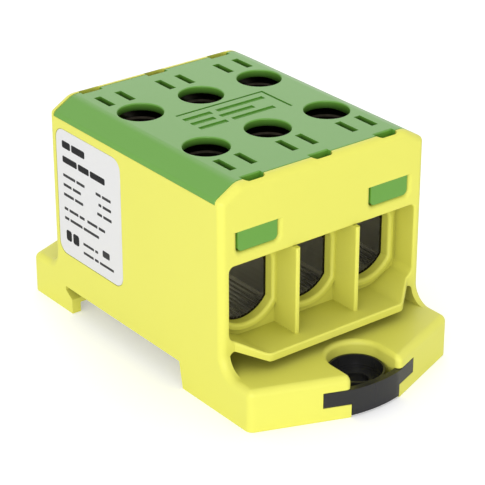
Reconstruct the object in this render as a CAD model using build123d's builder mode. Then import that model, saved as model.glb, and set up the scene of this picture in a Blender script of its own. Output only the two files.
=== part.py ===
"""Three-pole earth terminal block for a 35 mm rail.

Millimetres, +Z up. Z = 0 is the underside of the feet, X runs across the poles, and the conductors
run along Y. The sprung rail latch is on the -Y side, and the origin is under the middle of the body.
"""
import os
from math import degrees

from build123d import *

os.makedirs("parts", exist_ok=True)

# Poles
pole_names = ["left", "middle", "right"]
pole_pitch = 13.2
end_margin = 2.45
pole_count = len(pole_names)
pole_xs = [(i - (pole_count - 1) / 2) * pole_pitch for i in range(pole_count)]
divider_xs = [(i + 1 - pole_count / 2) * pole_pitch for i in range(pole_count - 1)]
width = pole_count * pole_pitch + 2 * end_margin

# Body of the housing
body_length = 50.8
body_height = 41.65
side_wall = 1.85
front_wall = 1.5
partition = 1.5
edge_radius = 1.3
shoulder_run = 4.1
shoulder_drop = 2.4
shoulder_radius = 3.0
lip_radius = 1.0
lip_height = 0.7
inner_width = width - 2 * side_wall
face_y = body_length / 2
lip_z = body_height - shoulder_drop - lip_height

# Feet
foot_height = 7.85
foot_side_reach = 7.6
nose_bulge = 0.55
foot_corner_radius = 1.5
flare_radius = 3.4
corner_y = face_y + foot_side_reach

# Rail channel: the rail's edge goes into the undercut of the rear hook, and the latch holds the other
rail_width = 35.0
rail_play = 0.6
rail_ceiling = 5.0
hook_depth = 2.0
hook_top = 2.9
hook_apex = 4.25
hook_bottom = 1.9
hook_relief = 3.75
channel_rear_y = 22.25
channel_front_y = channel_rear_y - rail_width - rail_play
channel_draft = 0.95

# Conductor funnels in both ends
funnel_top = 27.15
funnel_floor = 10.9
funnel_corner_radius = 1.0
mouth_round = 0.35
tray_thickness = 1.4
tray_flat_half = 14.9
tray_floor_rise = 2.76
tray_under_rise = 2.2
tray_floor_radius = 4.0
tray_wall_radius = 1.8
tray_under_radius = 0.9
tray_wall_height = 1.8
tray_reach = 3.95
tray_lip_half = 14.8
tray_shoulder_half = 19.35
tray_corner_radius = 1.8
divider_thickness = 0.9
divider_proud = 1.0
collar_height = 0.5
collar_width = 1.3
collar_round = 0.3
entry_width = 10.8
entry_bottom = 12.9
entry_top = 24.6
entry_arc_radius = 6.6
entry_corner_radius = 1.5
entry_lead_in = 0.6
ceiling_thickness = 1.45

# Terminals
fit_gap = 0.1
terminal_width = 11.8
terminal_length = 37.8
terminal_bottom = 9.5
terminal_top = 39.0
terminal_edge_radius = 0.6
partition_top = 34.6
bore_width = 10.0
bore_bottom = 13.3
bore_top = 23.5
bore_arc_radius = 6.2
bore_corner_radius = 1.2
groove_size = 0.26
groove_pitch = 0.72
groove_count = 15
thread_gap = 0.05
thread_lead_in = 0.3
cell_y = terminal_length / 2 + fit_gap
entry_wall_y = cell_y + partition

# Clamp screws
screw_spacing = 19.2
screw_diameter = 8.0
screw_length = 12.5
screw_rest_tip = 23.6
socket_width = 4.0
socket_depth = 5.0
screw_point_chamfer = 1.0
screw_head_chamfer = 0.4
screw_ys = {"front": -screw_spacing / 2, "rear": screw_spacing / 2}

# Cover
cover_thickness = 1.35
cover_gap = 0.1
cover_end_round = 0.25
cover_half_length = face_y - front_wall - cover_gap
cover_underside = body_height - cover_thickness
seat_gap = 0.05
cover_hole_diameter = 8.2
cover_hole_round = 0.25
vent_offset = 2.2
vent_y = 17.5
vent_width = 1.4
vent_length = 4.9
pry_width = 4.3
pry_depth = 0.85
pry_wall_depth = 0.9
pry_drop = 2.0
pry_round = 0.3
marking_depth = 0.25
marking_line = 0.5
marking_width = 19.0
marking_length = 8.3
marking_bars = [(6.0, 10.4), (5.0, 7.4), (6.0, 9.2)]
marking_bar_height = 1.15
marking_bar_pitch = 2.3
marking_bar_gap = 1.2
post_width = 6.0
post_thickness = 1.4

# Snap legs of the cover and their windows
window_x = 14.4
window_width = 8.6
window_bottom = 29.4
window_top = 33.3
window_round = 1.0
window_corner_radius = 0.9
leg_thickness = 1.5
leg_below_window = 0.35
tab_gap = 0.15
tab_recess = 0.25
pry_xs = [-window_x, 0, window_x]

# Rail latch
latch_clearance = 0.1
latch_base = 0.4
latch_top = 5.35
latch_wall = 1.2
latch_foot_width = 10.6
wing_width = 20.1
wing_bottom = 2.6
cup_setback = 5.35
cup_radius = 5.0
cup_rim = 0.35
cup_step = 3.4
cup_step_radius = 4.36
cup_floor = 3.05
panel_screw_diameter = 4.5
bar_width = 7.0
latch_nose_width = 12.0
latch_nose_length = 5.4
latch_nose_top = 3.9
latch_nose_y = -11.6
latch_nose_ramp = 1.6
spring_half_span = 11.4
spring_thickness = 1.1
spring_reach = 6.0
spring_root_y = -15.6
pocket_round = 0.9
pocket_floor = 3.05
pocket_margin = 0.35
nose_half = cup_radius + latch_clearance
cup_y = -face_y - flare_radius - pocket_margin - nose_half
nose_y = cup_setback - cup_y
guide_height = 4.2
guide_width = 27.0
guide_front_y = -25.5
ledge_height = wing_bottom - latch_clearance
bar_slot_top = wing_bottom + latch_clearance

# Coring of the underside
core_wall = 1.0
core_floor = 1.2
core_rows = 3
core_length = 7.3
foot_core_width = 7.4
foot_core_x = 14.8
foot_core_depth = 5.9
foot_cores = [(-29.25, 4.5), (28.4, 6.4)]

# Rating label
label_width = 20.1
label_height = 24.7
label_centre_y = 13.35
label_top_gap = 1.75
label_centre_z = lip_z - label_top_gap - label_height / 2
label_radius = 2.2
label_thickness = 0.2
label_recess = 0.25
label_gap = 0.12


def outer_profile(inset=0.0):
    """Front view of the body with its rounded shoulders, moved in by inset."""
    half = width / 2 - inset
    shoulder_z = body_height - shoulder_drop - inset / 2
    with BuildSketch() as profile:
        with BuildLine():
            Polyline(
                (-half, 0),
                (-half, shoulder_z),
                (shoulder_run - half, body_height - inset),
                (half - shoulder_run, body_height - inset),
                (half, shoulder_z),
                (half, 0),
                close=True,
            )
        make_face()
        fillet(profile.vertices().group_by(Axis.Y)[-1], shoulder_radius)
        shoulders = profile.vertices().filter_by(lambda v: abs(v.Y - shoulder_z) < 0.01)
        fillet(shoulders, lip_radius)
    return profile.sketch


def foot_outline():
    """Plan of the front foot: slanted corners and a bowed end, back to the middle of the body."""
    with BuildSketch() as outline:
        with BuildLine():
            Polyline((-nose_half, -nose_y), (-width / 2, -corner_y), (-width / 2, 0), (width / 2, 0))
            Polyline((width / 2, 0), (width / 2, -corner_y), (nose_half, -nose_y))
            ThreePointArc((nose_half, -nose_y), (0, -nose_y - nose_bulge), (-nose_half, -nose_y))
        make_face()
        fillet(outline.vertices().filter_by(lambda v: abs(v.Y + corner_y) < 0.01), foot_corner_radius)
    return outline.sketch


def end_strip(thickness, strip_width):
    """Plan of the middle of the foot's end, to a depth along Y."""
    with BuildSketch() as strip:
        add(foot_outline())
        with Locations((0, thickness)):
            add(foot_outline(), mode=Mode.SUBTRACT)
        Rectangle(strip_width, 4 * nose_y, mode=Mode.INTERSECT)
    return strip.sketch


def pocket_plan(radius):
    """Plan of the pocket for a panel screw: round behind, and open to the end of the foot."""
    with BuildSketch() as plan:
        with Locations((0, cup_y)):
            Circle(radius)
            Rectangle(2 * radius, nose_y, align=(Align.CENTER, Align.MAX))
    return plan.sketch


def arched_opening(half, bottom, top, arc_radius, corner_radius):
    """Opening with flat sides and top, over a bottom that is an arc of a larger circle."""
    spring_line = bottom + arc_radius - (arc_radius**2 - half**2) ** 0.5
    with BuildSketch() as opening:
        with BuildLine():
            Polyline((-half, spring_line), (-half, top), (half, top), (half, spring_line))
            ThreePointArc((half, spring_line), (0, bottom), (-half, spring_line))
        make_face()
        fillet(opening.vertices().group_by(Axis.Y)[-1], corner_radius)
    return opening.sketch


# The tray under each funnel: a floor that curves up into the side walls, cut to a tapered outline
tray_lip_y = face_y + tray_reach
tray_root = inner_width / 2 + side_wall / 4
tray_under_z = funnel_floor - tray_thickness
tray_root_bottom = tray_under_z + tray_under_rise - 2 * tray_under_radius
tray_root_top = funnel_floor + tray_floor_rise + tray_wall_height
with BuildPart() as tray:
    with BuildSketch(Plane.XZ.offset(entry_wall_y)) as tray_section:
        with BuildLine():
            Polyline(
                (0, funnel_floor),
                (tray_flat_half, funnel_floor),
                (inner_width / 2, funnel_floor + tray_floor_rise),
                (inner_width / 2, tray_root_top),
                (tray_root, tray_root_top),
                (tray_root, tray_root_bottom),
                (inner_width / 2, tray_root_bottom),
                (inner_width / 2, tray_under_z + tray_under_rise),
                (tray_flat_half, tray_under_z),
                (0, tray_under_z),
                close=True,
            )
        make_face()
        for x, z, radius in (
            (inner_width / 2, funnel_floor + tray_floor_rise, tray_wall_radius),
            (inner_width / 2, tray_under_z + tray_under_rise, tray_under_radius),
            (tray_flat_half, funnel_floor, tray_floor_radius),
        ):
            corner = tray_section.vertices().filter_by(lambda v: abs(v.X - x) + abs(v.Y - z) < 0.01)
            fillet(corner, radius)
        mirror(about=Plane.YZ)
    extrude(amount=tray_lip_y - entry_wall_y)
    with BuildSketch(Plane.XY) as tray_plan:
        with BuildLine():
            Polyline(
                (-tray_root, 0),
                (-tray_root, -face_y),
                (-tray_shoulder_half, -face_y),
                (-tray_lip_half, -tray_lip_y),
                (tray_lip_half, -tray_lip_y),
                (tray_shoulder_half, -face_y),
                (tray_root, -face_y),
                (tray_root, 0),
                close=True,
            )
        make_face()
        fillet(tray_plan.vertices().group_by(Axis.Y)[0], tray_corner_radius)
    extrude(amount=body_height, mode=Mode.INTERSECT)

# Collar round a conductor entry
entry_half = entry_width / 2
collar_half = min(entry_half + collar_width, pole_pitch / 2)
collar_y = entry_wall_y + collar_height
with BuildPart() as collar:
    with BuildSketch(Plane.XZ.offset(entry_wall_y)):
        add(
            arched_opening(
                collar_half,
                entry_bottom - collar_width,
                entry_top + collar_width,
                entry_arc_radius + collar_width,
                entry_corner_radius,
            )
        )
    extrude(amount=collar_height)
    fillet(collar.faces().sort_by(Axis.Y)[0].edges(), collar_round)

# Housing: the front half is built first, mirrored to the rear, and then each end gets its own features
pole_places = [(x, 0) for x in pole_xs]
with BuildPart() as housing:
    with BuildSketch(Plane.XY):
        add(foot_outline())
    extrude(amount=foot_height)
    with BuildSketch(Plane.XZ):
        add(outer_profile())
    extrude(amount=face_y)

    # The side walls flare forward into the foot
    flare_x = (width - side_wall) / 2
    for side in (-1, 1):
        with BuildSketch(Plane.YZ.offset(side * flare_x)):
            with BuildLine():
                arc_centre = (-face_y - flare_radius, foot_height + flare_radius)
                CenterArc(arc_centre, flare_radius, -90, 90)
                Line((-face_y, foot_height + flare_radius), (-face_y, foot_height))
                Line((-face_y, foot_height), (-face_y - flare_radius, foot_height))
            make_face()
        extrude(amount=side_wall / 2, both=True)

    # Pocket for the head of a panel screw
    with BuildSketch(Plane.XY.offset(pocket_floor)):
        add(pocket_plan(nose_half))
    extrude(amount=body_height - pocket_floor, mode=Mode.SUBTRACT)

    # One rounding runs along the top of the foot, up the corners of the body and over its shoulders
    flare_top_z = foot_height + flare_radius
    face_edges = housing.edges().filter_by_position(Axis.Y, -face_y - 0.01, -face_y + 0.01)
    body_edges = face_edges.filter_by(lambda e: e.bounding_box().max.Z > flare_top_z + 0.01)
    flare_edges = (
        housing.edges()
        .filter_by(GeomType.CIRCLE)
        .filter_by(lambda e: abs(abs(e.center().X) - width / 2) < 0.01)
    )
    foot_edges = housing.edges().filter_by_position(Axis.Z, foot_height - 0.01, foot_height + 0.01)
    rim_edges = foot_edges.filter_by(
        lambda e: e.center().Y < -face_y - flare_radius and abs(e.center().X) > nose_half + 0.01
    )
    fillet(body_edges + flare_edges + rim_edges, edge_radius)
    pocket_edges = housing.edges().filter_by(
        lambda e: abs(e.center().X) < nose_half + 0.01
        and e.bounding_box().max.Z > pocket_floor + 0.01
        and e.bounding_box().max.Y < -face_y - flare_radius
        and (e.bounding_box().min.Z > foot_height - 0.01 or e.center().Y < -nose_y + 0.01)
    )
    fillet(pocket_edges, pocket_round)

    # Funnel and the gap below its tray
    with BuildSketch(Plane.XZ.offset(entry_wall_y)) as funnel_front:
        with Locations((0, foot_height)):
            Rectangle(inner_width, funnel_top - foot_height, align=(Align.CENTER, Align.MIN))
        fillet(funnel_front.vertices().group_by(Axis.Y)[-1], funnel_corner_radius)
    extrude(amount=nose_y - entry_wall_y + nose_bulge, mode=Mode.SUBTRACT)
    add(tray.part)

    # One rounding runs round the funnel's mouth and along the lip of its tray
    mouth_edges = (
        housing.edges()
        .filter_by_position(Axis.Y, -face_y - 0.01, -face_y + 0.01)
        .filter_by(
            lambda e: abs(e.center().X) < inner_width / 2 + 0.01
            and e.bounding_box().min.Z > tray_under_z + tray_under_rise
            and e.bounding_box().max.Z < funnel_top + 0.01
        )
    )
    tray_floor = housing.faces().filter_by(
        lambda f: f.normal_at().Z > 0.5
        and tray_under_z < f.center().Z < tray_root_top
        and f.center().Y < -entry_wall_y
    )
    lip_edges = tray_floor.edges().filter_by(
        lambda e: e.center().Y < -face_y - 0.01 and e.bounding_box().size.X > 0.01
    )
    fillet(mouth_edges + lip_edges, mouth_round)

    # Dividers between the poles
    divider_depth = face_y + divider_proud - entry_wall_y
    divider_height = funnel_top - funnel_floor + tray_thickness / 2
    for x in divider_xs:
        with BuildSketch(Plane.XY.offset(funnel_top - divider_height)) as divider_plan:
            with Locations((x, -entry_wall_y)):
                Rectangle(divider_thickness, divider_depth, align=(Align.CENTER, Align.MAX))
            fillet(divider_plan.vertices().group_by(Axis.Y)[0], divider_thickness / 3)
        extrude(amount=divider_height)

    # Conductor entries in their collars
    with Locations(pole_places):
        add(collar.part)
    entry = arched_opening(entry_half, entry_bottom, entry_top, entry_arc_radius, entry_corner_radius)
    with BuildSketch(Plane.XZ.offset(cell_y)):
        with Locations(pole_places):
            add(entry)
    extrude(amount=partition + collar_height, mode=Mode.SUBTRACT)
    entry_mouths = housing.edges().filter_by(
        lambda e: e.bounding_box().min.Y > -collar_y - 0.01
        and e.bounding_box().max.Y < -collar_y + 0.01
        and any(abs(e.center().X - x) < entry_half + 0.01 for x in pole_xs)
        and entry_bottom - 0.01 < e.bounding_box().min.Z
        and e.bounding_box().max.Z < entry_top + 0.01
    )
    fillet(entry_mouths, entry_lead_in)

    # Cells for the terminals, and the slot behind the front wall that the cover's legs go into
    with BuildSketch(Plane.XY.offset(terminal_bottom)):
        with Locations(pole_places):
            Rectangle(terminal_width + 2 * fit_gap, 2 * cell_y)
    extrude(amount=body_height, mode=Mode.SUBTRACT)
    with BuildSketch(Plane.XY.offset(partition_top)):
        Rectangle(inner_width, 2 * cell_y)
    extrude(amount=body_height, mode=Mode.SUBTRACT)
    leg_slot_bottom = funnel_top + ceiling_thickness
    with BuildSketch(Plane.XY.offset(leg_slot_bottom)):
        with Locations((0, -entry_wall_y)):
            Rectangle(inner_width, face_y - front_wall - entry_wall_y, align=(Align.CENTER, Align.MAX))
    extrude(amount=body_height, mode=Mode.SUBTRACT)

    # Seat of the cover: all above its underside is cut away between the end walls
    with BuildSketch(Plane.XZ):
        with Locations((0, lip_z)):
            Rectangle(2 * width, body_height, align=(Align.CENTER, Align.MIN))
        add(outer_profile(cover_thickness + seat_gap), mode=Mode.SUBTRACT)
    extrude(amount=face_y - front_wall, mode=Mode.SUBTRACT)

    # Windows for the snap tabs, with a rounding at their sides and bottom
    window_height = window_top - window_bottom
    with BuildSketch(Plane.XZ.offset(face_y - front_wall)) as window_sketch:
        with Locations((-window_x, window_bottom), (window_x, window_bottom)):
            Rectangle(window_width, window_height, align=(Align.CENTER, Align.MIN))
        fillet(window_sketch.vertices().group_by(Axis.Y)[0], window_corner_radius)
    extrude(amount=front_wall, mode=Mode.SUBTRACT)
    window_edges = (
        housing.edges()
        .filter_by_position(Axis.Y, -face_y - 0.01, -face_y + 0.01)
        .filter_by(
            lambda e: window_bottom - 0.01 < e.bounding_box().min.Z
            and e.center().Z < window_top - 0.01
            and e.bounding_box().max.Z < window_top + 0.01
        )
    )
    fillet(window_edges, window_round)

    # Pry notches in the rims of the end walls
    with BuildSketch(Plane.XY.offset(body_height - pry_drop)):
        with Locations([(x, -face_y + front_wall) for x in pry_xs]):
            SlotOverall(pry_width, 2 * pry_wall_depth)
    extrude(amount=body_height, mode=Mode.SUBTRACT)

    mirror(about=Plane.XZ)

    # Rail channel, with the undercut of the hook at its rear
    with BuildSketch(Plane.YZ):
        with BuildLine():
            Polyline(
                (channel_front_y - channel_draft, 0),
                (channel_front_y, rail_ceiling),
                (channel_rear_y, rail_ceiling),
                (channel_rear_y, hook_apex),
                (channel_rear_y - hook_depth, hook_top),
                (channel_rear_y - hook_depth, 0),
                close=True,
            )
        make_face()
    extrude(amount=width / 2, both=True, mode=Mode.SUBTRACT)
    with BuildSketch(Plane.XY):
        with Locations((0, channel_rear_y - hook_depth)):
            Rectangle(inner_width, hook_relief, align=(Align.CENTER, Align.MIN))
    extrude(amount=hook_bottom, mode=Mode.SUBTRACT)

    # Guide of the rail latch: a pocket for its springs, a slot for its bar and recesses for its wall
    with BuildSketch(Plane.XY):
        with Locations((0, guide_front_y)):
            Rectangle(guide_width, channel_front_y - guide_front_y, align=(Align.CENTER, Align.MIN))
    extrude(amount=guide_height, mode=Mode.SUBTRACT)
    bar_slot_length = nose_y + nose_bulge + guide_front_y
    with BuildSketch(Plane.XY):
        with Locations((0, guide_front_y)):
            Rectangle(bar_width + 2 * latch_clearance, bar_slot_length, align=(Align.CENTER, Align.MAX))
    extrude(amount=bar_slot_top, mode=Mode.SUBTRACT)
    with BuildSketch(Plane.XY.offset(ledge_height)):
        add(pocket_plan(nose_half))
    extrude(amount=pocket_floor - ledge_height, mode=Mode.SUBTRACT)
    with BuildSketch(Plane.XY):
        add(end_strip(latch_wall + latch_clearance, latch_foot_width + 2 * latch_clearance))
    extrude(amount=ledge_height, mode=Mode.SUBTRACT)
    with BuildSketch(Plane.XY.offset(ledge_height)):
        add(end_strip(latch_wall + latch_clearance, wing_width + 2 * latch_clearance))
    extrude(amount=latch_top + latch_clearance - ledge_height, mode=Mode.SUBTRACT)

    # Panel screw hole of the rear foot
    with BuildSketch(Plane.XY):
        with Locations((0, -cup_y)):
            Circle(panel_screw_diameter / 2)
    extrude(amount=pocket_floor, mode=Mode.SUBTRACT)

    # Coring of the underside
    with BuildSketch(Plane.XY.offset(rail_ceiling)):
        with Locations((0, (channel_front_y + channel_rear_y) / 2)):
            with GridLocations(pole_pitch / 2, core_length + core_wall, 2 * pole_count, core_rows):
                Rectangle(pole_pitch / 2 - core_wall, core_length)
    extrude(amount=terminal_bottom - core_floor - rail_ceiling, mode=Mode.SUBTRACT)
    with BuildSketch(Plane.XY):
        for core_y, foot_core_length in foot_cores:
            with Locations((-foot_core_x, core_y), (foot_core_x, core_y)):
                Rectangle(foot_core_width, foot_core_length)
    extrude(amount=foot_core_depth, mode=Mode.SUBTRACT)

    # Recess for the rating label
    with BuildSketch(Plane.YZ.offset(-width / 2)):
        with Locations((label_centre_y, label_centre_z)):
            RectangleRounded(
                label_width + 2 * label_gap, label_height + 2 * label_gap, label_radius + label_gap
            )
    extrude(amount=label_recess, mode=Mode.SUBTRACT)

housing.part.label = "housing"
export_step(housing.part, "parts/housing.step")

# Cover: a shell on the side walls, with snap legs at both ends and a post over each terminal
leg_bottom = window_bottom - leg_below_window
with BuildPart() as cover:
    with BuildSketch(Plane.XZ):
        add(outer_profile())
        with Locations((0, lip_z + seat_gap)):
            Rectangle(width, body_height, align=(Align.CENTER, Align.MIN), mode=Mode.INTERSECT)
    extrude(amount=cover_half_length, both=True)
    end_edges = cover.edges().filter_by(
        lambda e: abs(abs(e.center().Y) - cover_half_length) < 0.01
        and e.bounding_box().max.Z > lip_z + seat_gap + 0.01
    )
    fillet(end_edges, cover_end_round)
    with BuildSketch(Plane.XZ):
        add(outer_profile(cover_thickness))
    extrude(amount=cover_half_length, both=True, mode=Mode.SUBTRACT)
    with BuildSketch(Plane.XY.offset(terminal_top + seat_gap)):
        with Locations(pole_places):
            Rectangle(post_width, post_thickness)
    extrude(amount=cover_underside - terminal_top)

    with BuildSketch(Plane.XY.offset(leg_bottom)):
        with Locations((-window_x, -cover_half_length), (window_x, -cover_half_length)):
            Rectangle(window_width - 2 * tab_gap, leg_thickness, align=(Align.CENTER, Align.MIN))
    extrude(amount=cover_underside - leg_bottom + seat_gap)
    with BuildSketch(Plane.XZ.offset(cover_half_length)) as tab_face:
        tab_z = window_bottom + tab_gap
        with Locations((-window_x, tab_z), (window_x, tab_z)):
            tab_height = window_height - 2 * tab_gap
            Rectangle(window_width - 2 * tab_gap, tab_height, align=(Align.CENTER, Align.MIN))
        fillet(tab_face.vertices().group_by(Axis.Y)[0], window_corner_radius)
    extrude(amount=face_y - tab_recess - cover_half_length)
    mirror(about=Plane.XZ)

    # Holes over the clamp screws, vents, pry notches and the torque marking
    with BuildSketch(Plane.XY.offset(body_height)):
        with Locations([(x, y) for x in pole_xs for y in screw_ys.values()]):
            Circle(cover_hole_diameter / 2)
    extrude(amount=-2 * cover_thickness, mode=Mode.SUBTRACT)
    hole_edges = (
        cover.edges().filter_by(GeomType.CIRCLE).filter_by_position(Axis.Z, body_height - 0.01, body_height)
    )
    fillet(hole_edges, cover_hole_round)
    with BuildSketch(Plane.XY.offset(body_height)):
        vent_xs = [x + side * vent_offset for x in pole_xs for side in (-1, 1)]
        with Locations([(x, side * vent_y) for x in vent_xs for side in (-1, 1)]):
            Rectangle(vent_width, vent_length)
    extrude(amount=-2 * cover_thickness, mode=Mode.SUBTRACT)
    with BuildSketch(Plane.XY.offset(body_height)):
        with Locations([(x, side * cover_half_length) for x in pry_xs for side in (-1, 1)]):
            Rectangle(pry_width, 2 * pry_depth)
    extrude(amount=-pry_drop, mode=Mode.SUBTRACT)
    pry_edges = (
        cover.edges()
        .filter_by_position(Axis.Z, body_height - 0.01, body_height + 0.01)
        .filter_by(
            lambda e: abs(e.center().Y) > cover_half_length - pry_depth - 0.01
            and any(abs(e.center().X - x) < pry_width / 2 - 0.01 for x in pry_xs)
        )
    )
    fillet(pry_edges, pry_round)
    with BuildSketch(Plane.XY.offset(body_height)):
        with Locations((0, marking_length / 2)):
            Rectangle(marking_width, marking_line)
        with Locations((marking_width / 2, 0)):
            Rectangle(marking_line, marking_length + marking_line)
        for row, (first, second) in enumerate(marking_bars):
            bar_y = marking_length / 2 - marking_bar_pitch * (row + 1)
            with Locations((-marking_width / 2, bar_y)):
                Rectangle(first, marking_bar_height, align=(Align.MIN, Align.CENTER))
            with Locations((-marking_width / 2 + first + marking_bar_gap, bar_y)):
                Rectangle(second, marking_bar_height, align=(Align.MIN, Align.CENTER))
    extrude(amount=-marking_depth, mode=Mode.SUBTRACT)

cover.part.label = "cover"
export_step(cover.part, "parts/cover.step")

# Terminal: a block with a grooved bore for the conductors and two threaded holes in its top
groove_step = degrees(groove_pitch / bore_arc_radius)
groove_span = groove_step * (groove_count - 1)
with BuildPart() as terminal:
    with BuildSketch(Plane.XY.offset(terminal_bottom)):
        RectangleRounded(terminal_width, terminal_length, terminal_edge_radius)
    extrude(amount=terminal_top - terminal_bottom)
    with BuildSketch(Plane.XZ):
        add(arched_opening(bore_width / 2, bore_bottom, bore_top, bore_arc_radius, bore_corner_radius))
        with Locations((0, bore_bottom + bore_arc_radius)):
            with PolarLocations(
                bore_arc_radius, groove_count, -90 - groove_span / 2, groove_span, endpoint=True
            ):
                Rectangle(groove_size, groove_size, rotation=45)
    extrude(amount=terminal_length / 2, both=True, mode=Mode.SUBTRACT)
    with BuildSketch(Plane.XY.offset(terminal_top)):
        with Locations([(0, y) for y in screw_ys.values()]):
            Circle(screw_diameter / 2 + thread_gap)
    extrude(amount=bore_top - terminal_top, mode=Mode.SUBTRACT)
    top_edges = terminal.edges().filter_by(GeomType.CIRCLE).group_by(Axis.Z)[-1]
    chamfer(top_edges.filter_by(lambda e: e.radius > terminal_edge_radius + 0.01), thread_lead_in)

# Clamp screw: a headless screw with a flat point and a hexagon socket
with BuildPart() as clamp_screw:
    Cylinder(screw_diameter / 2, screw_length, align=(Align.CENTER, Align.CENTER, Align.MIN))
    chamfer(clamp_screw.faces().sort_by(Axis.Z)[0].edges(), screw_point_chamfer)
    chamfer(clamp_screw.faces().sort_by(Axis.Z)[-1].edges(), screw_head_chamfer)
    with BuildSketch(Plane.XY.offset(screw_length)):
        RegularPolygon(socket_width / 2, 6, major_radius=False)
    extrude(amount=-socket_depth, mode=Mode.SUBTRACT)

for pole, x in zip(pole_names, pole_xs):
    with BuildPart() as placed_terminal:
        with Locations((x, 0, 0)):
            add(terminal.part)
    placed_terminal.part.label = f"terminal_{pole}"
    export_step(placed_terminal.part, f"parts/terminal_{pole}.step")
    for end, y in screw_ys.items():
        with BuildPart() as placed_screw:
            with Locations((x, y, screw_rest_tip)):
                add(clamp_screw.part)
        placed_screw.part.label = f"clamp_screw_{pole}_{end}"
        export_step(placed_screw.part, f"parts/clamp_screw_{pole}_{end}.step")

# Rail latch: a bar under the front foot with a pull cup, a nose for the rail and two springs
bar_length = nose_y + latch_nose_y - latch_nose_length / 2
with BuildLine() as spring_line:
    ThreePointArc(
        (latch_nose_width / 2 - spring_thickness, spring_root_y),
        (spring_half_span * 3 / 4, spring_root_y - spring_reach / 3),
        (spring_half_span, spring_root_y - spring_reach),
    )
with BuildPart() as rail_latch:
    with BuildSketch(Plane.XY.offset(latch_base)):
        add(end_strip(latch_wall, latch_foot_width))
    extrude(amount=latch_top - latch_base)
    with BuildSketch(Plane.XY.offset(wing_bottom)):
        add(end_strip(latch_wall, wing_width))
    extrude(amount=latch_top - wing_bottom)
    with BuildSketch(Plane.XY.offset(wing_bottom)):
        with Locations((0, cup_y)):
            Circle(cup_radius)
    extrude(amount=latch_top - wing_bottom)
    with BuildSketch(Plane.XY.offset(latch_base)):
        with Locations((0, latch_nose_y - latch_nose_length / 2)):
            Rectangle(bar_width, bar_length, align=(Align.CENTER, Align.MAX))
    extrude(amount=wing_bottom - latch_base)

    with BuildSketch(Plane.YZ) as nose_side:
        with Locations((latch_nose_y, latch_base)):
            Rectangle(latch_nose_length, latch_nose_top - latch_base, align=(Align.MAX, Align.MIN))
        chamfer(nose_side.vertices().group_by(Axis.X)[-1].sort_by(Axis.Y)[0], latch_nose_ramp)
    extrude(amount=latch_nose_width / 2, both=True)
    with BuildSketch(Plane.XY.offset(latch_base)):
        SlotArc(spring_line.edges()[0], spring_thickness)
        mirror(about=Plane.YZ)
    extrude(amount=wing_bottom - latch_base)

    with BuildSketch(Plane.XY.offset(cup_step)):
        with Locations((0, cup_y)):
            Circle(cup_radius - cup_rim)
    extrude(amount=latch_top - cup_step, mode=Mode.SUBTRACT)
    with BuildSketch(Plane.XY.offset(cup_floor)):
        with Locations((0, cup_y)):
            Circle(cup_step_radius)
    extrude(amount=latch_top - cup_floor, mode=Mode.SUBTRACT)
    with BuildSketch(Plane.XY):
        with Locations((0, cup_y)):
            Circle(panel_screw_diameter / 2)
    extrude(amount=latch_top, mode=Mode.SUBTRACT)

rail_latch.part.label = "rail_latch"
export_step(rail_latch.part, "parts/rail_latch.step")

with BuildPart() as rating_label:
    with BuildSketch(Plane.YZ.offset(label_recess - width / 2)):
        with Locations((label_centre_y, label_centre_z)):
            RectangleRounded(label_width, label_height, label_radius)
    extrude(amount=-label_thickness)

rating_label.part.label = "rating_label"
export_step(rating_label.part, "parts/rating_label.step")
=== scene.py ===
"""The earth terminal block, dressed for its picture: mouldings, screws, label print and light."""

from math import cos, pi, radians

import bpy
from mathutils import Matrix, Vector


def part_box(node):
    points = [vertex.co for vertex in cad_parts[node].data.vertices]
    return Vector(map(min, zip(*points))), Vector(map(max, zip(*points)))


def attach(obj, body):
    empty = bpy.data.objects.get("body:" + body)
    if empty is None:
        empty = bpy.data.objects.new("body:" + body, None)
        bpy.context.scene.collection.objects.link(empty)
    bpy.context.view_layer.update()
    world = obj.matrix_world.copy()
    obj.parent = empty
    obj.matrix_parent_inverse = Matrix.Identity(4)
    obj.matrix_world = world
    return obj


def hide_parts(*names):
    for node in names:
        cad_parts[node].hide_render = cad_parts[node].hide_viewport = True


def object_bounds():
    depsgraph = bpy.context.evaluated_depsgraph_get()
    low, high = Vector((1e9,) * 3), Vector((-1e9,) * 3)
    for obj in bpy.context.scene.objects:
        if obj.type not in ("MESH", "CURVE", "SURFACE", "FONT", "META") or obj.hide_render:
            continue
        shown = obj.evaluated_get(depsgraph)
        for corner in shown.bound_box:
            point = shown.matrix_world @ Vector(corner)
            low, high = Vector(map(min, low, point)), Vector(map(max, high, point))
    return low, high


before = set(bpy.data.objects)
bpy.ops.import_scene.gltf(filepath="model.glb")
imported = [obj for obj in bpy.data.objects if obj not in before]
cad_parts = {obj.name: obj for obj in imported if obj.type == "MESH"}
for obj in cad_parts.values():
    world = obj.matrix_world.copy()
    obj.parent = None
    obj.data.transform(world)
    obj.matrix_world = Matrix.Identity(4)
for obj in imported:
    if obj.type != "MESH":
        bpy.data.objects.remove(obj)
cad_low, cad_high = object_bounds()
MM = 0.001
POLES = ("left", "middle", "right")
ENDS = ("front", "rear")
MERGE_GAP = 0.002 * MM
FLAT_ANGLE = radians(0.5)
SHARP_ANGLE = radians(35)


def select_only(*pieces):
    """Leave just these objects selected, the first of them active."""
    bpy.ops.object.select_all(action="DESELECT")
    for piece in pieces:
        piece.select_set(True)
    bpy.context.view_layer.objects.active = pieces[0]


def apply_modifiers(piece):
    select_only(piece)
    for modifier in list(piece.modifiers):
        bpy.ops.object.modifier_apply(modifier=modifier.name)


def put_place_into_mesh(piece):
    """Leave the object at the origin, with its place in its mesh."""
    select_only(piece)
    bpy.ops.object.transform_apply(location=True, rotation=True, scale=True)


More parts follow.
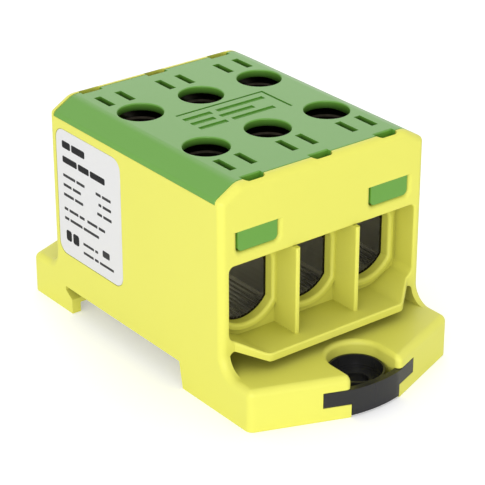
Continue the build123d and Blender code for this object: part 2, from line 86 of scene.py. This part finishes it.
def select_edges(piece, wanted):
    """Select the edges whose two end points pass a test, and no others."""
    select_only(piece)
    bpy.ops.object.mode_set(mode="EDIT")
    bpy.ops.mesh.select_mode(type="EDGE")
    bpy.ops.mesh.select_all(action="DESELECT")
    bpy.ops.object.mode_set(mode="OBJECT")
    for edge in piece.data.edges:
        first, second = (piece.data.vertices[index].co for index in edge.vertices)
        edge.select = wanted(first, second)


def name_piece(piece, name, material):
    """Give a piece its name and its one material."""
    piece.name = name
    piece.data.name = name
    piece.data.materials.clear()
    piece.data.materials.append(material)


def mark_faces(piece, material, wanted):
    """Give the faces that pass a test a further material."""
    piece.data.materials.append(material)
    for face in piece.data.polygons:
        if wanted(face):
            face.material_index = len(piece.data.materials) - 1


# Surface finishes and painted shade: grain, drift and stretch are in noise cells to the metre
MOULDING_GRAIN = 900.0
FILM_GRAIN = 2500.0
GRAIN_DETAIL = 1.0
GRAIN_HEIGHT = 0.02 * MM
DRIFT_SCALE = 55.0
DRIFT_DETAIL = 2.0
ROUGHNESS_SPREAD = 0.05
FILM_BUMP = 0.1
PLASTIC_SPECULAR = 0.5
INK_ROUGHNESS = 0.5
INK_SPECULAR = 0.15
WALL_SPECULAR = 0.1
# Painted shade: the darker yellow painted into the housing's recesses, and how far from their
# corners it reaches
PAINTED_SHADE_YELLOW = (0.410, 0.400, 0.058)
PAINTED_SHADE_REACH = 12.0 * MM
OPENNESS_SAMPLES = 16
# How far below the top the painted shade on the cover's openings' walls deepens
WALL_FADE_DEPTH = 1.3 * MM
STREAK_DETAIL = 1.0
STREAK_BUMP = 0.3
STREAK_SMOOTHER = 0.08
STREAK_ROUGHER = 0.12
RIDGE_HEIGHT = 0.05 * MM
GROUP_OUTPUTS = (("Color", "Color"), ("Roughness", "Float"), ("Normal", "Vector"))


def new_group(name, inputs):
    """A shader node group with these inputs, which puts out a colour, a roughness and a normal."""
    group = bpy.data.node_groups.new(name, "ShaderNodeTree")
    for way, sockets in (("INPUT", inputs), ("OUTPUT", GROUP_OUTPUTS)):
        for socket_name, kind in sockets:
            group.interface.new_socket(socket_name, in_out=way, socket_type=f"NodeSocket{kind}")
    return group, group.nodes.new("NodeGroupInput"), group.nodes.new("NodeGroupOutput")


def build_grain_group():
    """Fine moulding grain: a colour that drifts, a roughness that varies and a shallow bump."""
    group, given, result = new_group(
        "moulding_grain",
        (
            ("Color", "Color"),
            ("Deep Color", "Color"),
            ("Grain Size", "Float"),
            ("Roughness Low", "Float"),
            ("Roughness High", "Float"),
            ("Bump", "Float"),
        ),
    )
    nodes, links = group.nodes, group.links
    place = nodes.new("ShaderNodeTexCoord")

    drift = nodes.new("ShaderNodeTexNoise")
    drift.inputs["Scale"].default_value = DRIFT_SCALE
    drift.inputs["Detail"].default_value = DRIFT_DETAIL
    links.new(place.outputs["Object"], drift.inputs["Vector"])
    blend = nodes.new("ShaderNodeMix")
    blend.data_type = "RGBA"
    links.new(drift.outputs["Fac"], blend.inputs["Factor"])
    links.new(given.outputs["Color"], blend.inputs["A"])
    links.new(given.outputs["Deep Color"], blend.inputs["B"])
    links.new(blend.outputs["Result"], result.inputs["Color"])

    grain = nodes.new("ShaderNodeTexNoise")
    grain.inputs["Detail"].default_value = GRAIN_DETAIL
    links.new(place.outputs["Object"], grain.inputs["Vector"])
    links.new(given.outputs["Grain Size"], grain.inputs["Scale"])
    spread = nodes.new("ShaderNodeMapRange")
    links.new(grain.outputs["Fac"], spread.inputs["Value"])
    links.new(given.outputs["Roughness Low"], spread.inputs["To Min"])
    links.new(given.outputs["Roughness High"], spread.inputs["To Max"])
    links.new(spread.outputs["Result"], result.inputs["Roughness"])

    bump = nodes.new("ShaderNodeBump")
    bump.inputs["Distance"].default_value = GRAIN_HEIGHT
    links.new(given.outputs["Bump"], bump.inputs["Strength"])
    links.new(grain.outputs["Fac"], bump.inputs["Height"])
    links.new(bump.outputs["Normal"], result.inputs["Normal"])
    return group


def build_streak_group():
    """Streaks drawn out along one axis, in a metal's colour, roughness and height."""
    group, given, result = new_group(
        "drawn_streaks",
        (
            ("Color", "Color"),
            ("Streak Color", "Color"),
            ("Stretch", "Vector"),
            ("Roughness Low", "Float"),
            ("Roughness High", "Float"),
            ("Streak Height", "Float"),
        ),
    )
    nodes, links = group.nodes, group.links
    place = nodes.new("ShaderNodeTexCoord")
    draw_out = nodes.new("ShaderNodeMapping")
    links.new(place.outputs["Object"], draw_out.inputs["Vector"])
    links.new(given.outputs["Stretch"], draw_out.inputs["Scale"])
    streaks = nodes.new("ShaderNodeTexNoise")
    streaks.inputs["Scale"].default_value = 1.0
    streaks.inputs["Detail"].default_value = STREAK_DETAIL
    links.new(draw_out.outputs["Vector"], streaks.inputs["Vector"])

    tint = nodes.new("ShaderNodeMix")
    tint.data_type = "RGBA"
    links.new(streaks.outputs["Fac"], tint.inputs["Factor"])
    links.new(given.outputs["Color"], tint.inputs["A"])
    links.new(given.outputs["Streak Color"], tint.inputs["B"])
    links.new(tint.outputs["Result"], result.inputs["Color"])

    spread = nodes.new("ShaderNodeMapRange")
    links.new(streaks.outputs["Fac"], spread.inputs["Value"])
    links.new(given.outputs["Roughness Low"], spread.inputs["To Min"])
    links.new(given.outputs["Roughness High"], spread.inputs["To Max"])
    links.new(spread.outputs["Result"], result.inputs["Roughness"])

    bump = nodes.new("ShaderNodeBump")
    bump.inputs["Strength"].default_value = STREAK_BUMP
    links.new(given.outputs["Streak Height"], bump.inputs["Distance"])
    links.new(streaks.outputs["Fac"], bump.inputs["Height"])
    links.new(bump.outputs["Normal"], result.inputs["Normal"])
    return group


moulding_grain = build_grain_group()
drawn_streaks = build_streak_group()


def new_material(name, roughness, metallic=0.0):
    material = bpy.data.materials.new(name)
    material.use_nodes = True
    shader = material.node_tree.nodes["Principled BSDF"]
    shader.inputs["Roughness"].default_value = roughness
    shader.inputs["Metallic"].default_value = metallic
    return material, shader


def place_group(material, group, **values):
    """Let a group with its own values give a material's colour, roughness and normal."""
    nodes, links = material.node_tree.nodes, material.node_tree.links
    shader = nodes["Principled BSDF"]
    effect = nodes.new("ShaderNodeGroup")
    effect.node_tree = group
    for socket_name, value in values.items():
        effect.inputs[socket_name.replace("_", " ").title()].default_value = value
    links.new(effect.outputs["Color"], shader.inputs["Base Color"])
    links.new(effect.outputs["Roughness"], shader.inputs["Roughness"])
    links.new(effect.outputs["Normal"], shader.inputs["Normal"])


def moulded_plastic(
    name, color, deep_color, roughness, bump, grain_size=MOULDING_GRAIN, specular=PLASTIC_SPECULAR
):
    """A moulded plastic, a film or an ink with its grain."""
    material, shader = new_material(name, roughness)
    shader.inputs["Specular IOR Level"].default_value = specular
    place_group(
        material,
        moulding_grain,
        color=(*color, 1.0),
        deep_color=(*deep_color, 1.0),
        grain_size=grain_size,
        roughness_low=roughness,
        roughness_high=roughness + ROUGHNESS_SPREAD,
        bump=bump,
    )
    return material


def drawn_metal(name, color, streak_color, roughness, stretch, streak_height=GRAIN_HEIGHT):
    """A metal with streaks drawn out along one axis."""
    material, _ = new_material(name, roughness, metallic=1.0)
    place_group(
        material,
        drawn_streaks,
        color=(*color, 1.0),
        streak_color=(*streak_color, 1.0),
        stretch=stretch,
        roughness_low=roughness - STREAK_SMOOTHER,
        roughness_high=roughness + STREAK_ROUGHER,
        streak_height=streak_height,
    )
    return material


def paint_recess_shade(material, shade_color, reach):
    """Paint shade into a moulding's recesses: a darker tone, out to a reach from their corners."""
    nodes, links = material.node_tree.nodes, material.node_tree.links
    shader = nodes["Principled BSDF"]
    surface_color = shader.inputs["Base Color"].links[0].from_socket
    openness = nodes.new("ShaderNodeAmbientOcclusion")
    openness.only_local = True
    openness.samples = OPENNESS_SAMPLES
    openness.inputs["Distance"].default_value = reach
    blend = nodes.new("ShaderNodeMix")
    blend.data_type = "RGBA"
    blend.inputs["A"].default_value = (*shade_color, 1.0)
    links.new(openness.outputs["AO"], blend.inputs["Factor"])
    links.new(surface_color, blend.inputs["B"])
    links.new(blend.outputs["Result"], shader.inputs["Base Color"])


def wall_with_painted_shade(name, color, painted_shade_color, roughness, upper_z, lower_z):
    """The wall of a narrow opening, with painted shade: its colour deepens from one height to
    another.
    """
    material, shader = new_material(name, roughness)
    shader.inputs["Specular IOR Level"].default_value = WALL_SPECULAR
    nodes, links = material.node_tree.nodes, material.node_tree.links
    place = nodes.new("ShaderNodeTexCoord")
    parts = nodes.new("ShaderNodeSeparateXYZ")
    links.new(place.outputs["Object"], parts.inputs["Vector"])
    depth = nodes.new("ShaderNodeMapRange")
    depth.inputs["From Min"].default_value = upper_z
    depth.inputs["From Max"].default_value = lower_z
    links.new(parts.outputs["Z"], depth.inputs["Value"])
    blend = nodes.new("ShaderNodeMix")
    blend.data_type = "RGBA"
    blend.inputs["A"].default_value = (*color, 1.0)
    blend.inputs["B"].default_value = (*painted_shade_color, 1.0)
    links.new(depth.outputs["Result"], blend.inputs["Factor"])
    links.new(blend.outputs["Result"], shader.inputs["Base Color"])
    return material


yellow_plastic = moulded_plastic(
    "yellow_plastic",
    color=(0.845, 0.830, 0.140),
    deep_color=(0.830, 0.815, 0.134),
    roughness=0.40,
    bump=0.15,
    specular=0.3,
)
# Painted shade in the housing's recesses and corners
paint_recess_shade(yellow_plastic, PAINTED_SHADE_YELLOW, PAINTED_SHADE_REACH)
green_plastic = moulded_plastic(
    "green_plastic",
    color=(0.142, 0.375, 0.048),
    deep_color=(0.134, 0.364, 0.044),
    roughness=0.28,
    bump=0.04,
)
# Painted shade: a darker green on the sunk torque marking's faces, for the shade in its shallow
# grooves
marking_green_painted_shade = moulded_plastic(
    "marking_green_painted_shade",
    color=(0.120, 0.330, 0.045),
    deep_color=(0.108, 0.310, 0.040),
    roughness=0.45,
    bump=0.04,
    specular=0.25,
)
# Painted shade on the walls of the cover's holes and vents, darker further down
green_wall_painted_shade = wall_with_painted_shade(
    "green_wall_painted_shade",
    color=(0.130, 0.345, 0.044),
    painted_shade_color=(0.030, 0.085, 0.010),
    roughness=0.5,
    upper_z=cad_high[2],
    lower_z=cad_high[2] - WALL_FADE_DEPTH,
)
dark_plastic = moulded_plastic(
    "dark_plastic",
    color=(0.022, 0.022, 0.023),
    deep_color=(0.018, 0.018, 0.019),
    roughness=0.19,
    bump=0.03,
)
label_film = moulded_plastic(
    "label_film",
    color=(0.790, 0.790, 0.790),
    deep_color=(0.775, 0.775, 0.777),
    roughness=0.55,
    bump=FILM_BUMP,
    grain_size=FILM_GRAIN,
)
label_ink = moulded_plastic(
    "label_ink",
    color=(0.010, 0.010, 0.011),
    deep_color=(0.016, 0.016, 0.017),
    roughness=INK_ROUGHNESS,
    bump=FILM_BUMP,
    grain_size=FILM_GRAIN,
    specular=INK_SPECULAR,
)
fine_ink = moulded_plastic(
    "fine_ink",
    color=(0.035, 0.035, 0.036),
    deep_color=(0.050, 0.050, 0.051),
    roughness=INK_ROUGHNESS,
    bump=FILM_BUMP,
    grain_size=FILM_GRAIN,
    specular=INK_SPECULAR,
)
extruded_metal = drawn_metal(
    "extruded_metal",
    color=(0.80, 0.79, 0.72),
    streak_color=(0.66, 0.65, 0.59),
    roughness=0.30,
    stretch=(900.0, 12.0, 900.0),
)
# Its dark streaks along the bore are partly drawn marks and partly painted shade of the ridges
# between the grooves
grooved_metal = drawn_metal(
    "grooved_metal",
    color=(0.95, 0.94, 0.87),
    streak_color=(0.34, 0.33, 0.29),
    roughness=0.24,
    stretch=(2400.0, 6.0, 2400.0),
    streak_height=RIDGE_HEIGHT,
)
# Painted shade: a near-black metal on the blocks' tops, threads and ends, where the holes and gaps
# lie in shade
painted_shade_metal = drawn_metal(
    "painted_shade_metal",
    color=(0.040, 0.034, 0.025),
    streak_color=(0.020, 0.017, 0.012),
    roughness=0.45,
    stretch=(900.0, 900.0, 120.0),
)
blackened_steel = drawn_metal(
    "blackened_steel",
    color=(0.30, 0.295, 0.285),
    streak_color=(0.20, 0.195, 0.19),
    roughness=0.34,
    stretch=(1500.0, 1500.0, 3000.0),
)


# Mouldings and clamp blocks: merged copies of the CAD shapes that shade smoothly round their edges
def dressed_copy(node, name, material):
    """A merged copy of a CAD node that stands for it, smooth round its small roundings."""
    piece = bpy.data.objects.new(name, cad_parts[node].data.copy())
    bpy.context.scene.collection.objects.link(piece)
    select_only(piece)
    bpy.ops.mesh.customdata_custom_splitnormals_clear()
    bpy.ops.object.mode_set(mode="EDIT")
    bpy.ops.mesh.select_all(action="SELECT")
    bpy.ops.mesh.remove_doubles(threshold=MERGE_GAP)
    bpy.ops.mesh.dissolve_limited(angle_limit=FLAT_ANGLE)
    bpy.ops.object.mode_set(mode="OBJECT")
    bpy.ops.object.shade_smooth_by_angle(angle=SHARP_ANGLE)
    evened = piece.modifiers.new("flat_faces_stay_flat", "WEIGHTED_NORMAL")
    evened.keep_sharp = True
    apply_modifiers(piece)
    name_piece(piece, name, material)
    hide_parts(node)
    return piece


def dress_housing():
    housing = dressed_copy("housing", "housing_moulding", yellow_plastic)
    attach(housing, "block")


MARKING_HALF_WIDTH = 10.0 * MM
MARKING_HALF_LENGTH = 5.0 * MM
MARKING_SHALLOWEST = 0.05 * MM
MARKING_DEEPEST = 0.3 * MM
OPENINGS_HALF_WIDTH = 18.0 * MM
OPENINGS_HALF_LENGTH = 22.5 * MM
WALL_SHALLOWEST = 0.05 * MM
WALL_DEEPEST = 2.5 * MM
WALL_STEEPNESS = 0.3


def is_marking(face):
    """Whether a face of the cover belongs to the sunk torque marking."""
    x, y, z = face.center
    inside = abs(x) < MARKING_HALF_WIDTH and abs(y) < MARKING_HALF_LENGTH
    return inside and MARKING_SHALLOWEST < cad_high[2] - z < MARKING_DEEPEST


def is_opening_wall(face):
    """Whether a face of the cover is a wall of a screw hole or a vent."""
    x, y, z = face.center
    inside = abs(x) < OPENINGS_HALF_WIDTH and abs(y) < OPENINGS_HALF_LENGTH
    upright = abs(face.normal.z) < WALL_STEEPNESS
    under_top = WALL_SHALLOWEST < cad_high[2] - z < WALL_DEEPEST
    return inside and upright and under_top and not is_marking(face)


def dress_cover():
    """The cover, with painted shade in its sunk torque marking and on its openings' walls."""
    cover = dressed_copy("cover", "cover_moulding", green_plastic)
    mark_faces(cover, marking_green_painted_shade, is_marking)
    mark_faces(cover, green_wall_painted_shade, is_opening_wall)
    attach(cover, "block")


def dress_latch():
    latch = dressed_copy("rail_latch", "latch_moulding", dark_plastic)
    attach(latch, "latch")


END_FACE_SLOPE = 0.5
GROOVES_TOP = 16.3 * MM


def dress_clamp_blocks():
    """The three metal blocks: tops, threads and ends darkened with painted shade, and ridges in the
    bores' arches, whose dark streaks are partly painted shade.
    """
    thread_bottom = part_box("clamp_screw_left_front")[0][2]

    # Faces that get the painted shade: above the thread's bottom, and the ends
    def is_painted_shade(face):
        return face.center.z > thread_bottom or abs(face.normal.y) > END_FACE_SLOPE

    def is_grooved(face):
        return face.center.z < GROOVES_TOP and not is_painted_shade(face)

    for pole in POLES:
        node = f"terminal_{pole}"
        block = dressed_copy(node, f"clamp_block_{pole}", extruded_metal)
        mark_faces(block, painted_shade_metal, is_painted_shade)
        mark_faces(block, grooved_metal, is_grooved)
        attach(block, "block")


# Clamp screws: a threaded shank with a flat point and a hexagon socket
SCREW_RADIUS = 4.0 * MM
SCREW_LENGTH = 12.5 * MM
SCREW_SHANK_RADIUS = 3.45 * MM
THREAD_PITCH = 1.25 * MM
THREAD_STEPS = 32
OUTER_STEPS = 3 * THREAD_STEPS
POINT_CHAMFER = 1.0 * MM
HEAD_CHAMFER = 0.4 * MM
SOCKET_SIDES = 6
SOCKET_WIDTH = 4.0 * MM
SOCKET_DEPTH = 5.0 * MM
SOCKET_LEAD_IN = 0.3 * MM
# The ridge's foot lies inside the shank
RIDGE_DEPTH = 1.2 * (SCREW_RADIUS - SCREW_SHANK_RADIUS)
RIDGE_FOOT = 0.8 * THREAD_PITCH
RIDGE_CREST_SHARE = 0.2
SMOOTH_SCREW_ANGLE = radians(25)


def chamfered_rod(radius, steps):
    """A rod of the screw's length, standing on the origin, with its point's and head's chamfers."""
    bpy.ops.object.select_all(action="DESELECT")
    bpy.ops.mesh.primitive_cylinder_add(
        vertices=steps, radius=radius, depth=SCREW_LENGTH, location=(0, 0, SCREW_LENGTH / 2)
    )
    rod = bpy.context.object
    put_place_into_mesh(rod)
    inset = SCREW_RADIUS - radius
    for end_z, chamfer in ((0.0, POINT_CHAMFER - inset), (SCREW_LENGTH, HEAD_CHAMFER - inset)):
        if chamfer <= 0.0:
            continue
        select_edges(
            rod,
            lambda first, second: max(abs(first.z - end_z), abs(second.z - end_z)) < MERGE_GAP,
        )
        bpy.ops.object.mode_set(mode="EDIT")
        bpy.ops.mesh.bevel(offset=chamfer, segments=1, affect="EDGES")
        bpy.ops.object.mode_set(mode="OBJECT")
    return rod


def thread_ridge():
    """The thread's ridge, wound past both ends of the screw."""
    bpy.ops.object.select_all(action="DESELECT")
    middle_x = SCREW_RADIUS - RIDGE_DEPTH / 2
    bpy.ops.mesh.primitive_plane_add(
        size=1.0, location=(middle_x, 0, -THREAD_PITCH), rotation=(radians(90), 0, 0)
    )
    ridge = bpy.context.object
    ridge.scale = (RIDGE_DEPTH, RIDGE_FOOT, 1.0)
    put_place_into_mesh(ridge)
    select_edges(ridge, lambda first, second: min(first.x, second.x) > middle_x)
    bpy.ops.object.mode_set(mode="EDIT")
    bpy.ops.transform.resize(value=(1.0, 1.0, RIDGE_CREST_SHARE))
    bpy.ops.object.mode_set(mode="OBJECT")
    winding = ridge.modifiers.new("winding", "SCREW")
    winding.axis = "Z"
    winding.screw_offset = THREAD_PITCH
    winding.iterations = round(SCREW_LENGTH / THREAD_PITCH) + 2
    winding.steps = THREAD_STEPS
    winding.render_steps = THREAD_STEPS
    apply_modifiers(ridge)
    bpy.ops.object.mode_set(mode="EDIT")
    bpy.ops.mesh.select_all(action="SELECT")
    bpy.ops.mesh.remove_doubles(threshold=MERGE_GAP)
    bpy.ops.mesh.select_all(action="DESELECT")
    bpy.ops.mesh.select_non_manifold()
    bpy.ops.mesh.edge_face_add()
    bpy.ops.mesh.select_all(action="SELECT")
    bpy.ops.mesh.normals_make_consistent(inside=False)
    bpy.ops.object.mode_set(mode="OBJECT")
    return ridge


def cut_or_join(piece, tool, operation):
    """A Boolean between the piece and a tool, which is then deleted."""
    boolean = piece.modifiers.new("boolean", "BOOLEAN")
    boolean.operation = operation
    boolean.solver = "EXACT"
    boolean.object = tool
    apply_modifiers(piece)
    bpy.data.objects.remove(tool)


def build_clamp_screw():
    """One screw on the origin: its thread, its shank, and its hexagon socket with a lead-in."""
    screw = thread_ridge()
    cut_or_join(screw, chamfered_rod(SCREW_RADIUS, OUTER_STEPS), "INTERSECT")
    cut_or_join(screw, chamfered_rod(SCREW_SHANK_RADIUS, THREAD_STEPS), "UNION")
    bpy.ops.object.select_all(action="DESELECT")
    bpy.ops.mesh.primitive_cylinder_add(
        vertices=SOCKET_SIDES,
        radius=SOCKET_WIDTH / 2 / cos(pi / SOCKET_SIDES),
        depth=2 * SOCKET_DEPTH,
        location=(0, 0, SCREW_LENGTH),
        rotation=(0, 0, pi / SOCKET_SIDES),
    )
    put_place_into_mesh(bpy.context.object)
    cut_or_join(screw, bpy.context.object, "DIFFERENCE")
    # A 45 degree cone, which at the screw's head is wider than the socket by the lead-in
    bpy.ops.object.select_all(action="DESELECT")
    bpy.ops.mesh.primitive_cone_add(
        vertices=THREAD_STEPS,
        radius1=SOCKET_WIDTH / 2 - SOCKET_LEAD_IN,
        radius2=SOCKET_WIDTH / 2 + 2 * SOCKET_LEAD_IN,
        depth=3 * SOCKET_LEAD_IN,
        location=(0, 0, SCREW_LENGTH - 0.5 * SOCKET_LEAD_IN),
    )
    put_place_into_mesh(bpy.context.object)
    cut_or_join(screw, bpy.context.object, "DIFFERENCE")
    select_only(screw)
    bpy.ops.object.shade_smooth_by_angle(angle=SMOOTH_SCREW_ANGLE)
    return screw


def place_clamp_screws():
    """A copy of the screw for each end of each clamp block."""
    pattern = build_clamp_screw()
    for pole in POLES:
        for end in ENDS:
            node = f"clamp_screw_{pole}_{end}"
            low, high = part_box(node)
            screw = pattern.copy()
            screw.data = pattern.data.copy()
            bpy.context.scene.collection.objects.link(screw)
            screw.location = ((low[0] + high[0]) / 2, (low[1] + high[1]) / 2, low[2])
            put_place_into_mesh(screw)
            name_piece(screw, f"threaded_screw_{pole}_{end}", blackened_steel)
            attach(screw, f"screw_{pole}_{end}")
            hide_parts(node)
    bpy.data.objects.remove(pattern)


# Rating label: a film with plain printed bars
PRINT_THICKNESS = 0.02 * MM
PRINT_CORNER_SHARE = 0.22
PRINT_CORNER_STEPS = 3
# In millimetres: how far a row's top is below the film's upper edge, how high its bars are, and
# each bar's start from the film's rear edge and its length
HEAVY_PRINT = (
    (2.1, 1.4, ((1.9, 2.6), (4.9, 4.2))),
    (5.1, 1.25, ((1.9, 4.6), (6.9, 3.4), (10.7, 4.6))),
    (19.7, 2.1, ((2.2, 1.7), (4.4, 1.9))),
)
FINE_PRINT = (
    (8.6, 0.55, ((1.9, 3.9), (6.2, 2.6), (12.3, 1.6), (14.3, 2.7))),
    (10.5, 0.55, ((1.9, 2.6), (4.9, 2.6), (13.1, 0.9), (14.4, 2.6))),
    (12.4, 0.55, ((1.9, 3.2), (5.5, 2.6), (12.6, 1.5), (14.5, 2.6))),
    (15.2, 0.55, ((1.9, 1.2), (3.5, 2.9), (6.8, 1.6), (9.3, 3.2), (12.9, 2.0))),
    (17.1, 0.55, ((1.9, 1.4), (3.7, 3.9), (8.0, 4.9))),
    (20.3, 0.5, ((7.7, 3.4), (11.5, 0.9))),
    (22.1, 0.5, ((7.7, 3.2), (11.3, 1.2), (12.9, 4.4))),
    (19.4, 1.3, ((13.9, 2.2),)),
)


def print_bar(film, start, top, length, height):
    """One thin bar with rounded corners, its back on the film's outer face."""
    (film_face, _, _), (_, rear_edge, upper_edge) = film
    bpy.ops.object.select_all(action="DESELECT")
    bpy.ops.mesh.primitive_cube_add(
        size=1.0,
        location=(
            film_face - PRINT_THICKNESS / 2,
            rear_edge - (start + length / 2) * MM,
            upper_edge - (top + height / 2) * MM,
        ),
        scale=(PRINT_THICKNESS, length * MM, height * MM),
    )
    bar = bpy.context.object
    put_place_into_mesh(bar)
    select_edges(bar, lambda first, second: abs(first.x - second.x) > PRINT_THICKNESS / 2)
    bpy.ops.object.mode_set(mode="EDIT")
    bpy.ops.mesh.bevel(
        offset=PRINT_CORNER_SHARE * height * MM, segments=PRINT_CORNER_STEPS, affect="EDGES"
    )
    bpy.ops.object.mode_set(mode="OBJECT")
    return bar


def print_bars(name, rows, ink):
    """Rows of printed bars on the label film, joined into one piece."""
    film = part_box("rating_label")
    plates = [
        print_bar(film, start, top, length, height)
        for top, height, bars in rows
        for start, length in bars
    ]
    select_only(*plates)
    bpy.ops.object.join()
    piece = bpy.context.object
    name_piece(piece, name, ink)
    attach(piece, "block")


def dress_label():
    """The label's film with its two weights of print."""
    film = dressed_copy("rating_label", "label_film_sheet", label_film)
    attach(film, "block")
    print_bars("label_heavy_print", HEAVY_PRINT, label_ink)
    print_bars("label_fine_print", FINE_PRINT, fine_ink)


dress_housing()
dress_cover()
dress_latch()
dress_clamp_blocks()
place_clamp_screws()
dress_label()


# Floor, light and camera
FLOOR_SIZE = 6.0
FLOOR_GAP = 0.05 * MM
FLOOR_WHITE = 0.9
FLOOR_ROUGHNESS = 0.9
FLOOR_LIFT = 0.35
DOME_LIGHT = 0.66
SEEN_WHITE = 1.0
LAMP_TARGET = Vector((0.0, 0.0, 0.02))
LAMPS = (
    # name, place and size in metres, power in watts
    ("low_fill", (-0.62, -0.66, 0.05), 0.8, 8.0),
    ("top_box", (0.10, 0.25, 0.80), 0.5, 0.7),
    ("rear_sheen", (0.55, 0.71, 0.46), 0.8, 1.0),
)
CAMERA_PLACE = (-0.194374, -0.253229, 0.173143)
CAMERA_DIRECTION = Vector((0.54964, 0.70899, -0.44185))
CAMERA_LENS = 145.85
CAMERA_SENSOR = 36.0
CAMERA_NEAR = 0.01


def lay_floor():
    """A white floor that keeps the object's shadow and shows as white to the camera."""
    bpy.ops.object.select_all(action="DESELECT")
    bpy.ops.mesh.primitive_plane_add(size=FLOOR_SIZE, location=(0, 0, cad_low[2] - FLOOR_GAP))
    floor = bpy.context.object
    floor.name = "floor"
    paint, shader = new_material("floor_paint", FLOOR_ROUGHNESS)
    shader.inputs["Base Color"].default_value = (FLOOR_WHITE, FLOOR_WHITE, FLOOR_WHITE, 1.0)
    shader.inputs["Emission Color"].default_value = (1.0, 1.0, 1.0, 1.0)
    nodes, links = paint.node_tree.nodes, paint.node_tree.links
    path = nodes.new("ShaderNodeLightPath")
    lift = nodes.new("ShaderNodeMath")
    lift.operation = "MULTIPLY"
    lift.inputs[1].default_value = FLOOR_LIFT
    links.new(path.outputs["Is Camera Ray"], lift.inputs[0])
    links.new(lift.outputs["Value"], shader.inputs["Emission Strength"])
    floor.data.materials.append(paint)


def light_dome():
    """An even white dome; polished surfaces and the camera see it as plain white."""
    world = bpy.data.worlds.new("studio")
    bpy.context.scene.world = world
    world.use_nodes = True
    nodes, links = world.node_tree.nodes, world.node_tree.links
    sky = nodes["Background"]
    sky.inputs["Color"].default_value = (1.0, 1.0, 1.0, 1.0)
    path = nodes.new("ShaderNodeLightPath")
    seen = nodes.new("ShaderNodeMath")
    seen.operation = "MAXIMUM"
    strength = nodes.new("ShaderNodeMapRange")
    strength.inputs["To Min"].default_value = DOME_LIGHT
    strength.inputs["To Max"].default_value = SEEN_WHITE
    links.new(path.outputs["Is Camera Ray"], seen.inputs[0])
    links.new(path.outputs["Is Glossy Ray"], seen.inputs[1])
    links.new(seen.outputs["Value"], strength.inputs["Value"])
    links.new(strength.outputs["Result"], sky.inputs["Strength"])


def hang_lamps():
    """Soft square lamps, all turned to the object."""
    for name, place, size, power in LAMPS:
        bpy.ops.object.light_add(type="AREA", location=place)
        lamp = bpy.context.object
        lamp.name = name
        lamp.data.size = size
        lamp.data.energy = power
        lamp.rotation_euler = (LAMP_TARGET - Vector(place)).to_track_quat("-Z", "Y").to_euler()


def aim_camera():
    """The photograph's view."""
    camera_data = bpy.data.cameras.new("camera")
    camera = bpy.data.objects.new("camera", camera_data)
    bpy.context.scene.collection.objects.link(camera)
    camera.location = CAMERA_PLACE
    camera.rotation_euler = CAMERA_DIRECTION.to_track_quat("-Z", "Y").to_euler()
    camera_data.lens = CAMERA_LENS
    camera_data.sensor_width = CAMERA_SENSOR
    camera_data.clip_start = CAMERA_NEAR
    bpy.context.scene.camera = camera


lay_floor()
light_dome()
hang_lamps()
aim_camera()
bpy.context.scene.view_settings.view_transform = "Standard"
